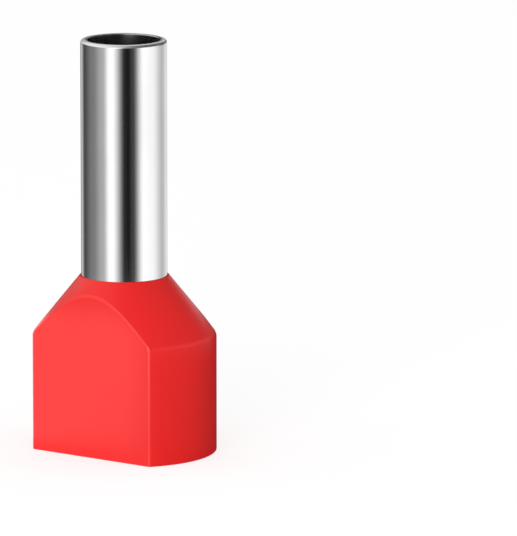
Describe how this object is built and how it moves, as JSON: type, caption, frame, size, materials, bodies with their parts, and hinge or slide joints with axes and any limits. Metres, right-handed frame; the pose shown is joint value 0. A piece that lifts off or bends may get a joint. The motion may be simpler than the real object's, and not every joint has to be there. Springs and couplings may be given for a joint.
{
  "type": "wire ferrule",
  "caption": "Twin-entry insulated wire ferrule: a plated crimp barrel in a flattened moulded collar that gathers a pair of stranded wires into a single end.",
  "frame": {"origin": "centre of the collar's mouth, on the surface that the ferrule stands on", "axes": "+Z along the barrel, from the collar's mouth to the barrel's tip; +X across the collar's width, between its round ends; +Y across its flats"},
  "size_m": [0.0062, 0.0038, 0.014],
  "materials": {
    "tinned_copper": "gloss",
    "red_polypropylene": "satin"
  },
  "bodies": {
    "root": {"barrel": "tinned_copper", "collar": "red_polypropylene"}
  },
  "joints": []
}
